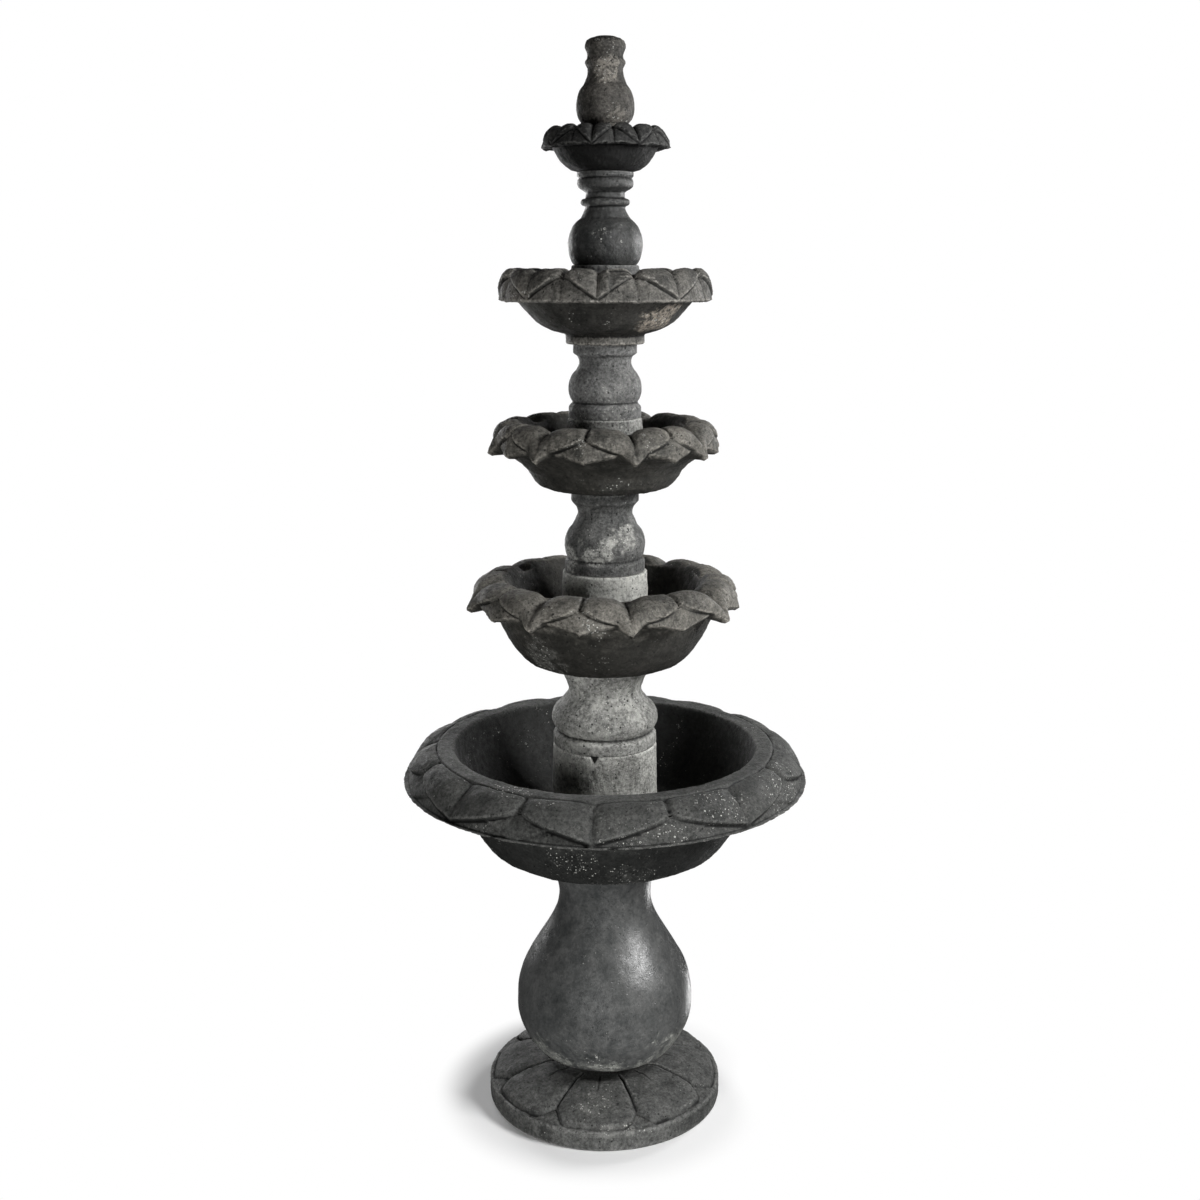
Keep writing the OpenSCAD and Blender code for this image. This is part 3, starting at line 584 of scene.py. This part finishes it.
# The pear is fullest a little above its foot, but the foot itself keeps its size
fullness, full_height, full_spread = 8.0, 34, 24
pedestal = worn_copy("pedestal_stone", "pedestal", 3.2, 6)
points = points_of(pedestal)
full = fullness * np.exp(-(((points[:, 2] - flats_of("pedestal")[0] - full_height) / full_spread) ** 2))
reach = np.hypot(points[:, 0], points[:, 1]).clip(1)
full *= smooth_step(reach, 66, 108)
points[:, :2] *= (1 + full / reach)[:, None]
put_points(pedestal, points)
weather(pedestal, 1.3, 90, flat=flats_of("pedestal"), seed=5.0)
weather(pedestal, 0.2, 14, flat=flats_of("pedestal"), seed=6.0)
mark_rubbed(pedestal, 3.0)
smooth_grey = stone_look(
    "smooth_grey_stone", (0.026, 0.028, 0.028), (0.058, 0.06, 0.059), (0.115, 0.115, 0.112),
    grain=0.5, specks=0.2, gloss=(0.26, 0.4), seed=11.0,
    # These places low on the pear are painted light: they make its lower part paler, as light thrown up from
    # the floor
    lime_and_painted_light=[
        ((20, -90, 80), 90, 1.0), ((100, -70, 110), 95, 1.0), ((-90, -80, 100), 85, 0.8),
        ((-20, -120, 160), 60, 0.2),
    ],
    lime_and_painted_light_tone=(0.28, 0.285, 0.26), relief=0.0014,
)
smooth_grey.node_tree.nodes["Principled BSDF"].inputs["Specular IOR Level"].default_value = 0.65
finish_piece(pedestal, "stand", "smooth_stone", smooth_grey, "pedestal")


# ---- Basin ----
# The widest stone, 800 mm across and 249 mm high. A flat lip rings the water, and eight full petals lean out
# from it, each with a sharp fold down its middle. Smaller leaves fill the gaps above the plain cut edge.
def bowl_rim(bearing, t, s):
    """Radius and height on a carved rim with sizes s. t runs from the crest (0) to the lower edge (1)."""
    drift = s["drift"] * np.sin(np.radians(3 * bearing + 40))
    across, number = petal_place(bearing + drift, s["turn"])
    side = np.abs(across)
    fold = np.exp(-((side / s["fold_w"]) ** 1.3))
    notch = s["notch"]
    jut = np.clip(1 - side / max(notch, 1e-3), 0, 1) ** 1.15
    hang = np.clip((side - notch) / (1 - notch), 0, 1)
    var = s["vary"][number]
    # The crest, the knee of the bend and the lower edge, all as radius and height
    crest_r = s["crest"][0] + 2.0 * var
    between = np.exp(-(((1 - side) / s["nick_w"]) ** 2))
    crest_z = s["crest"][1] - s["dip"] * fold - s["nick"] * between
    knee_r = s["knee"][0] - s["knee_fold"][0] * fold - s["pinch"] * between
    knee_z = s["knee"][1] - s["knee_fold"][1] * fold - 0.5 * s["nick"] * between
    edge_r = s["edge"][0] + s["tip"][0] * jut * (1 + 0.12 * var) + s["back"][0] * hang**1.6
    edge_z = s["edge"][1] + s["tip"][1] * jut + s["back"][1] * hang**1.6 * (1 + 0.15 * var)

    def sheet(k):
        r = (1 - k) ** 2 * crest_r + 2 * k * (1 - k) * knee_r + k**2 * edge_r
        z = (1 - k) ** 2 * crest_z + 2 * k * (1 - k) * knee_z + k**2 * edge_z
        return r, z

    r, z = sheet(t)
    r1, z1 = sheet(t - 0.01)
    r2, z2 = sheet(t + 0.01)
    length = np.hypot(r2 - r1, z2 - z1) + 1e-6
    out_r, out_z = (z1 - z2) / length, (r2 - r1) / length
    # The outline of the upper petals: down the gap, then along the lower side to the tip
    reach = np.clip((1 - side) / (1 - notch), 0, 1)
    outline_t = s["split"] + (s["end"] - s["split"]) * reach ** s["curl"] + 0.02 * var * across
    outline_t = np.where(side < notch, 1.3, outline_t)
    below = smooth_step(t, outline_t - 0.01, outline_t + 0.035)
    gap_w = s["cut_w"] / (s["crest"][0] * math.radians(half_petal))
    gap = np.exp(-(((1 - side) / gap_w) ** 2)) * (1 - smooth_step(t, outline_t, outline_t + 0.05))
    gap *= smooth_step(t, 0.0, 0.06) * (1 + 1.2 * np.exp(-(((t - s["split"]) / 0.09) ** 2)))
    lower_line = np.exp(-(((t - outline_t - 0.01) / s["line_w"]) ** 2))
    crease = np.exp(-((side / (0.6 * gap_w)) ** 2)) * smooth_step(t, 0.02, 0.2)
    pillow = np.sin(np.pi * np.clip(side, 0, 1)) ** 0.8 * np.sin(np.pi * np.clip(t * 0.9 + 0.08, 0, 1)) ** 0.7
    leaf_t = 1.0 - s["leaf_rise"] * (1 - side)
    beyond = smooth_step(t, leaf_t, leaf_t + 0.03) * below
    rib_stop = 1 - smooth_step(t, s["rib_end"], s["rib_end"] + 0.08)
    leaf_rib = np.exp(-(((1 - side) / (0.7 * gap_w)) ** 2)) * below * rib_stop
    rise = (
        s["pillow"] * pillow * (1 - below)
        - s["step"] * below
        - s["leaf_step"] * beyond
        - s["cut"] * gap
        - s["cut"] * 0.8 * lower_line
        - s["crease"] * crease
        - s["cut"] * 0.5 * leaf_rib
    )
    if "broken" in s:
        start, stop, depth = s["broken"]
        bite = smooth_step(bearing, start, start + 0.8) * (1 - smooth_step(bearing, stop, stop + 3.0))
        rise = rise - depth * bite * smooth_step(t, 0.0, 0.12) * (1 - below)
    return r + out_r * rise, z + out_z * rise


basin_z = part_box("basin")[0][2] / mm
basin_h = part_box("basin_rim")[1][2] / mm - basin_z
basin_r = 400.0
basin_floor = 80
basin_edge = 186
crest_r = 333
basin_seats = (basin_z, basin_z + basin_floor)
under = [
    (112, 0), (150, 11), (185, 25.5), (214, 37.5), (232, 47.5),
    (243, 60), (259, 84), (276, 118), (291, 153), (300, 176),
]
outline = run((0, 0), under[0], 5)
for a, b in zip(under[:-1], under[1:]):
    outline += run(a, b, 5)
outline += run(under[-1], (basin_r - 9, 181), 10)
outline += [(basin_r - 9, 181), (basin_r - 4, 181.4), (basin_r - 1.4, 183)]
rim_first = len(outline)
outline += run((basin_r, basin_edge), (crest_r, basin_h - 3), 72)
rim_last = len(outline)
outline += [(332.5, basin_h - 1.2), (331, basin_h - 0.2)] + run((329, basin_h), (303, basin_h), 5)
outline += [(303, basin_h), (300.6, basin_h - 0.6), (299, basin_h - 2.4)]
inner = [
    (298, basin_h - 6), (290, 205), (277, 168), (262, 137),
    (243, 110), (222, 92), (198, 82), (176, basin_floor),
]
for a, b in zip(inner[:-1], inner[1:]):
    outline += run(a, b, 4)
outline += run(inner[-1], (0, basin_floor), 8) + [(0, basin_floor)]

basin_shape = {
    "turn": -3, "drift": 1.2, "fold_w": 0.16, "notch": 0.02, "vary": dice.uniform(-1, 1, petals),
    "crest": (crest_r, basin_h - 3), "knee": (372, basin_h - 4), "edge": (basin_r - 0.6, basin_edge),
    "dip": 3, "nick": 1, "nick_w": 0.06, "pinch": 2, "knee_fold": (5, 14), "tip": (0, 0), "back": (0, 0),
    "split": 0.40, "end": 0.93, "curl": 0.46, "cut_w": 3.6, "line_w": 0.02, "cut": 4.5, "crease": 4.0,
    "pillow": 5.2, "step": 5.0, "leaf_rise": 0.55, "leaf_step": 3.0, "rib_end": 0.68,
}


def basin_rule(row, bearing, r, z):
    """Carves the rim and leaves the rest of the basin as turned."""
    t = 1 - (row - rim_first) / (rim_last - rim_first)
    on_rim = (row >= rim_first) & (row < rim_last)
    rim_r, rim_z = bowl_rim(bearing, np.clip(t, 0, 1), basin_shape)
    hold = smooth_step(t, 0.0, 0.05) * (1 - smooth_step(t, 0.985, 1.0)) * on_rim
    return np.minimum(r + (rim_r - r) * hold, basin_r - 0.2), z + (rim_z - z) * hold


basin_steps = 540
basin = turned("basin_stone", outline, basin_steps)
carve(basin, outline, basin_rule)
points = points_of(basin)
points[:, 2] += basin_z
put_points(basin, points)
weather(basin, 1.1, 34, flat=basin_seats, seed=8.0)
chip(basin, 3.5, 11, flat=basin_seats, seed=8.5)
weather(basin, 0.45, 6, flat=basin_seats, seed=9.0)
mark_rubbed(basin, 6.0, 0.9)
basin_dark = stone_look(
    "basin_stone", (0.022, 0.023, 0.022), (0.05, 0.051, 0.048), (0.095, 0.095, 0.09), 1.1, 0.5, seed=3.0,
    lime_and_painted_light=[
        ((120, -380, 690), 60, 0.0), ((30, -398, 688), 50, 0.0), ((205, -300, 738), 60, 0.0),
        ((345, -190, 715), 85, 0.05), ((-60, -290, 600), 70, 0.0), ((40, -210, 545), 75, 0.05),
        ((-170, -270, 748), 45, 0.05),
    ],
)
finish_piece(basin, "stand", "dark_stone", basin_dark, "basin", "basin_rim")


# ---- Bowls ----
# Three bowls and a small top bowl, each cut from one block. The lower two have drooping petals with a wavy
# edge. The upper two have petals on an upright band. Water fills each bowl and runs over the folds.
def carved_bowl(name, node, body, under, rim, inner, shape, look, seed, under_shade, steps=512):
    """Turns and carves a bowl: the underside, the rim carved by shape, and the hollow down to the floor."""
    seat = flats_of(node)[0]
    outline = run((bore_r, 0), under[0], 4)
    for a, b in zip(under[:-1], under[1:]):
        outline += run(a, b, 5)
    lip_first = len(outline)
    outline += run(under[-1], shape["edge"], 8)
    lip_last = len(outline)
    rim_rows = 66
    outline += run(shape["edge"], shape["crest"], rim_rows)
    rim_end = len(outline)
    outline += run(shape["crest"], inner[0], 7)
    fall_end = len(outline)
    for a, b in zip(inner[:-1], inner[1:]):
        outline += run(a, b, 5)
    floor_z = inner[-1][1]
    outline += run(inner[-1], (bore_r, floor_z), 6) + [(bore_r, floor_z), (bore_r, 0)]

    def rule(row, bearing, r, z):
        """Carves the lip under the rim, the rim itself and the fall from its crest into the bowl."""
        t = np.clip(1 - (row - lip_last) / rim_rows, 0, 1)
        rim_r, rim_z = bowl_rim(bearing, t, shape)
        edge_r, edge_z = bowl_rim(bearing, np.ones_like(r), shape)
        top_r, top_z = bowl_rim(bearing, np.zeros_like(r), shape)
        lip = np.clip((row - lip_first) / (lip_last - lip_first), 0, 1)
        fall = np.clip((row - rim_end) / (fall_end - rim_end), 0, 1)
        under_r = under[-1][0] + (edge_r - rim[0] - under[-1][0]) * lip
        under_z = under[-1][1] + (edge_z - rim[1] - under[-1][1]) * lip**0.8
        inner_r = top_r + (inner[0][0] - top_r) * fall
        across = petal_place(bearing, shape["turn"])[0]
        hollow_z = inner[0][1] - shape["dip"] * 0.35 * np.exp(-((across / 0.4) ** 2))
        inner_z = top_z + (hollow_z - top_z) * fall**1.6
        in_lip = (row >= lip_first) & (row < lip_last)
        in_rim = (row >= lip_last) & (row < rim_end)
        in_fall = (row >= rim_end) & (row < fall_end)
        new_r = np.select([in_lip, in_rim, in_fall], [under_r, rim_r, inner_r], r)
        new_z = np.select([in_lip, in_rim, in_fall], [under_z, rim_z, inner_z], z)
        return new_r, new_z

    bowl = turned(name, outline, steps)
    carve(bowl, outline, rule)
    points = points_of(bowl)
    points[:, 2] += seat
    put_points(bowl, points)
    seats = (seat, seat + floor_z)
    weather(bowl, 1.0, 22, flat=seats, seed=seed)
    chip(bowl, 3.0, 8, flat=seats, seed=seed + 2)
    weather(bowl, 0.45, 5, flat=seats, seed=seed + 1)
    mark_rubbed(bowl, 5.0, under_shade)
    finish_piece(bowl, body, "dark_stone", look, node)


petal_brown = stone_look(
    "petal_stone", (0.028, 0.028, 0.025), (0.122, 0.116, 0.102), (0.22, 0.207, 0.182), 1.1, 0.5, seed=17.0,
    lime_and_painted_light=[((-120, -150, 960), 50, 0.2), ((-20, -240, 1050), 30, 0.1), ((10, -120, 1300), 36, 0.05)],
)
carved_bowl(
    "lower_bowl_stone", "lower_bowl", "lower_tier",
    [(83, 0), (128, 11), (150, 19), (164, 30), (177, 46), (191, 68), (203, 92), (212, 112), (218, 128)],
    (3, 6),
    [(187, 172), (180, 152), (170, 128), (158, 104), (142, 78), (122, 54), (102, 42)],
    {
        "turn": 12, "drift": 1.8, "fold_w": 0.2, "notch": 0.24, "vary": dice.uniform(-1, 1, petals),
        "crest": (204, 184), "knee": (256, 185), "edge": (255, 141),
        "dip": 16, "nick": 2, "nick_w": 0.06, "pinch": 0,
        "knee_fold": (2, 18), "tip": (19, -16), "back": (11, -12),
        "split": 0.34, "end": 1.0, "curl": 0.5, "cut_w": 3.0, "line_w": 0.026, "cut": 3.8, "crease": 3.5,
        "pillow": 2.6, "step": 4.0, "leaf_rise": 0.0, "leaf_step": 0.0, "rib_end": 0.5,
    },
    petal_brown, seed=21.0, under_shade=1.0,
)
carved_bowl(
    "middle_bowl_stone", "middle_bowl", "middle_tier",
    [(66, 0), (112, 8), (124, 13), (134, 21), (141, 31), (148, 43), (160, 56), (174, 66), (182, 75)],
    (3, 5),
    [(153, 124), (147, 108), (138, 88), (124, 66), (108, 50), (94, 42)],
    {
        "turn": 12, "drift": -2.4, "fold_w": 0.2, "notch": 0.27, "vary": dice.uniform(-1, 1, petals),
        "crest": (169, 136), "knee": (214, 138), "edge": (211, 93),
        "dip": 14, "nick": 2, "nick_w": 0.06, "pinch": 0,
        "knee_fold": (2, 14), "tip": (18, -15), "back": (12, -13),
        "split": 0.36, "end": 1.0, "curl": 0.5, "cut_w": 2.8, "line_w": 0.03, "cut": 3.4, "crease": 3.2,
        "pillow": 2.0, "step": 3.6, "leaf_rise": 0.0, "leaf_step": 0.0, "rib_end": 0.5,
    },
    petal_brown, seed=31.0, under_shade=0.9,
)
upper_seat = flats_of("upper_bowl")[0]
upper_dark = stone_look(
    "upper_bowl_stone", (0.026, 0.026, 0.024), (0.115, 0.11, 0.1), (0.21, 0.2, 0.18), 1.1, 0.5, seed=3.0,
    lime_and_painted_light=[((105, -95, upper_seat + 45), 46, 1.0), ((-150, -130, upper_seat + 85), 30, 0.15)],
    lime_and_painted_light_tone=(0.4, 0.35, 0.29),
)
sooty_dark = stone_look(
    "top_bowl_stone", (0.01, 0.01, 0.01), (0.026, 0.026, 0.025), (0.055, 0.055, 0.052), 1.1, 0.35, seed=5.0
)
carved_bowl(
    "upper_bowl_stone", "upper_bowl", "upper_tier",
    [
        (72, 0), (74, 2), (74, 16), (77, 19), (102, 26), (118, 33),
        (129, 40), (138, 49), (146, 58), (157, 70), (166, 80),
    ],
    (2, 3),
    [(156, 122), (148, 110), (139, 90), (126, 68), (110, 51), (94, 42)],
    {
        "turn": -3, "drift": 2.6, "fold_w": 0.14, "notch": 0.02, "vary": dice.uniform(-1, 1, petals),
        "crest": (170, 137), "knee": (194, 138), "edge": (203, 82),
        "dip": 7, "nick": 9, "nick_w": 0.14, "pinch": 5, "knee_fold": (4, 10), "tip": (0, 0), "back": (0, 0),
        "split": 0.2, "end": 0.95, "curl": 0.55, "cut_w": 3.0, "line_w": 0.026, "cut": 3.6, "crease": 3.0,
        "pillow": 2.8, "step": 4.0, "leaf_rise": 0.0, "leaf_step": 0.0, "rib_end": 1.0,
        "broken": (1.5, 15.0, 6.0),
    },
    upper_dark, seed=41.0, under_shade=0.8,
)
carved_bowl(
    "top_bowl_stone", "top_bowl", "top_tier",
    [(53, 0), (64, 3), (74, 10), (81, 17), (87, 25), (92, 33), (97, 41)],
    (2, 2),
    [(79, 66), (74, 60), (67, 53), (58, 47)],
    {
        "turn": -12, "drift": 3.0, "fold_w": 0.16, "notch": 0.02, "vary": dice.uniform(-1, 1, petals),
        "crest": (92, 77), "knee": (106, 80), "edge": (122, 43),
        "dip": 6, "nick": 5, "nick_w": 0.14, "pinch": 3, "knee_fold": (5, 9), "tip": (1, -2), "back": (-3, 2),
        "split": 0.22, "end": 0.97, "curl": 0.55, "cut_w": 2.4, "line_w": 0.03, "cut": 3.0, "crease": 2.6,
        "pillow": 1.6, "step": 3.0, "leaf_rise": 0.0, "leaf_step": 0.0, "rib_end": 1.0,
    },
    sooty_dark, steps=448, seed=51.0, under_shade=0.9,
)


# ---- Columns, risers and pump cover ----
# Turned stones with a square ring, a bulb and a narrow neck. They are lighter and more pitted than the bowls,
# and lime from the water has dried on them in white patches.
pitted_pale = stone_look(
    "pitted_pale_stone", (0.065, 0.066, 0.061), (0.19, 0.19, 0.18), (0.37, 0.37, 0.35), 1.5, 1.0, 1.0,
    seed=23.0,
)
limed_grey = stone_look(
    "limed_grey_stone", (0.034, 0.035, 0.034), (0.08, 0.08, 0.077), (0.15, 0.15, 0.145), 1.2, 0.6, 0.3,
    seed=29.0,
    lime_and_painted_light=[
        ((40, -55, 1188), 28, 0.8), ((8, -70, 1172), 28, 0.9),
        ((-28, -62, 1152), 30, 0.9), ((-58, -35, 1140), 28, 0.9),
    ],
)
limed_pale = stone_look(
    "limed_pale_stone", (0.11, 0.11, 0.102), (0.28, 0.28, 0.262), (0.46, 0.46, 0.43), 1.3, 0.9, 0.9,
    seed=27.0,
    lime_and_painted_light=[((-40, -75, 1075), 60, 1.0), ((20, -85, 1085), 52, 1.0), ((65, -55, 1080), 34, 0.8)],
)
pitted_grey = stone_look(
    "pitted_grey_stone", (0.06, 0.061, 0.06), (0.115, 0.115, 0.112), (0.19, 0.19, 0.185), 1.2, 0.8, 0.45,
    seed=31.0,
)
dark_turned = stone_look(
    "dark_turned_stone", (0.02, 0.021, 0.021), (0.038, 0.039, 0.038), (0.075, 0.075, 0.072), 0.8, 0.6,
    gloss=(0.3, 0.55), seed=37.0,
)
warm_grey = stone_look(
    "warm_grey_stone", (0.02, 0.0195, 0.018), (0.052, 0.049, 0.044), (0.12, 0.112, 0.1), 1.1, 0.6, 0.2,
    seed=43.0,
    lime_and_painted_light=[((0, -25, 2030), 26, 0.7), ((20, -50, 1945), 26, 0.4)],
    lime_and_painted_light_tone=(0.42, 0.39, 0.34),
)
turned_stones = [
    ("pump_cover", "cover", "pale_stone", limed_pale, 2.6),
    ("lower_column", "lower_tier", "pale_stone", pitted_pale, 2.2),
    ("lower_riser", "lower_tier", "pale_stone", limed_pale, 2.2),
    ("middle_column", "middle_tier", "pale_stone", limed_grey, 1.9),
    ("middle_riser", "middle_tier", "pale_stone", pitted_pale, 1.9),
    ("upper_column", "upper_tier", "pale_stone", pitted_grey, 1.7),
    ("upper_riser", "upper_tier", "pale_stone", pitted_grey, 1.7),
    ("top_column", "top_tier", "smooth_stone", dark_turned, 1.4),
    ("finial", "finial", "smooth_stone", warm_grey, 1.2),
]
# The pump cover has a small three-cornered notch in its top edge, in front
notch_x, notch_half, notch_deep, notch_cut, notch_front = -20, 8, 13, 12, -40
for number, (node, body, slot, look, voxel) in enumerate(turned_stones):
    stone = worn_copy(node + "_stone", node, voxel, 2)
    seats = flats_of(node)
    notch = ()
    if node == "pump_cover":
        points = points_of(stone)
        spread = (seats[1] - points[:, 2]) / notch_deep + np.abs(points[:, 0] - notch_x) / notch_half
        notch = np.nonzero((spread < 1) & (points[:, 1] < notch_front))[0]
        points[notch, 1] += notch_cut
        put_points(stone, points)
    weather(stone, 0.8, 22, flat=seats, seed=60.0 + number)
    chip(stone, 2.0, 7, flat=seats, seed=80.0 + number)
    weather(stone, 0.4, 4, flat=seats, seed=70.0 + number)
    # The notch's points are painted darkest, as painted shade in the notch
    mark_rubbed(stone, 4.0, cut=notch)
    finish_piece(stone, body, slot, look, node)


# ---- Metal, rubber and plastic inside ----
# Steel pins and shaft, brass drain and outlet, black rubber sleeves and seals, grey pipe, and the black pump.
def maker_look(name, colour, roughness, metallic=0.0, streak=30.0):
    """A plain metal, rubber or plastic, a little cloudy in colour and gloss, with a fine grain."""
    grain_depth = 0.0004
    look = bpy.data.materials.new(name)
    look.use_nodes = True
    tree = look.node_tree
    shader = tree.nodes["Principled BSDF"]
    shader.inputs["Metallic"].default_value = metallic
    where = tree.nodes.new("ShaderNodeTexCoord")
    cloud = tree.nodes.new("ShaderNodeTexNoise")
    cloud.inputs["Scale"].default_value = streak
    cloud.inputs["Detail"].default_value = 6
    tree.links.new(where.outputs["Object"], cloud.inputs["Vector"])
    tone = tree.nodes.new("ShaderNodeMix")
    tone.data_type = "RGBA"
    tone.inputs[6].default_value = (*(c * 0.7 for c in colour), 1)
    tone.inputs[7].default_value = (*(min(1, c * 1.25) for c in colour), 1)
    tree.links.new(cloud.outputs["Fac"], tone.inputs[0])
    tree.links.new(tone.outputs[2], shader.inputs["Base Color"])
    rough = tree.nodes.new("ShaderNodeMapRange")
    rough.inputs["To Min"].default_value = roughness - 0.12
    rough.inputs["To Max"].default_value = roughness + 0.12
    tree.links.new(cloud.outputs["Fac"], rough.inputs["Value"])
    tree.links.new(rough.outputs["Result"], shader.inputs["Roughness"])
    grain = tree.nodes.new("ShaderNodeTexNoise")
    grain.inputs["Scale"].default_value = streak * 30
    tree.links.new(where.outputs["Object"], grain.inputs["Vector"])
    bump = tree.nodes.new("ShaderNodeBump")
    bump.inputs["Strength"].default_value = 0.3
    bump.inputs["Distance"].default_value = grain_depth
    tree.links.new(grain.outputs["Fac"], bump.inputs["Height"])
    tree.links.new(bump.outputs["Normal"], shader.inputs["Normal"])
    return look


inside_looks = {
    "steel": maker_look("brushed_steel", (0.56, 0.57, 0.58), 0.35, 1.0, 60),
    "brass": maker_look("dull_brass", (0.55, 0.38, 0.15), 0.4, 1.0, 50),
    "rubber": maker_look("black_rubber", (0.02, 0.02, 0.02), 0.7),
    "pipe_plastic": maker_look("grey_pipe", (0.22, 0.23, 0.24), 0.5),
    "pump_plastic": maker_look("black_pump_plastic", (0.022, 0.024, 0.026), 0.45),
    "impeller_plastic": maker_look("white_impeller_plastic", (0.7, 0.7, 0.68), 0.3),
}
for part in frame["record"]["subparts"]:
    if part["material_slot"] in inside_looks:
        mesh = frame["nodes"][part["node"]].data
        mesh.materials.clear()
        mesh.materials.append(inside_looks[part["material_slot"]])
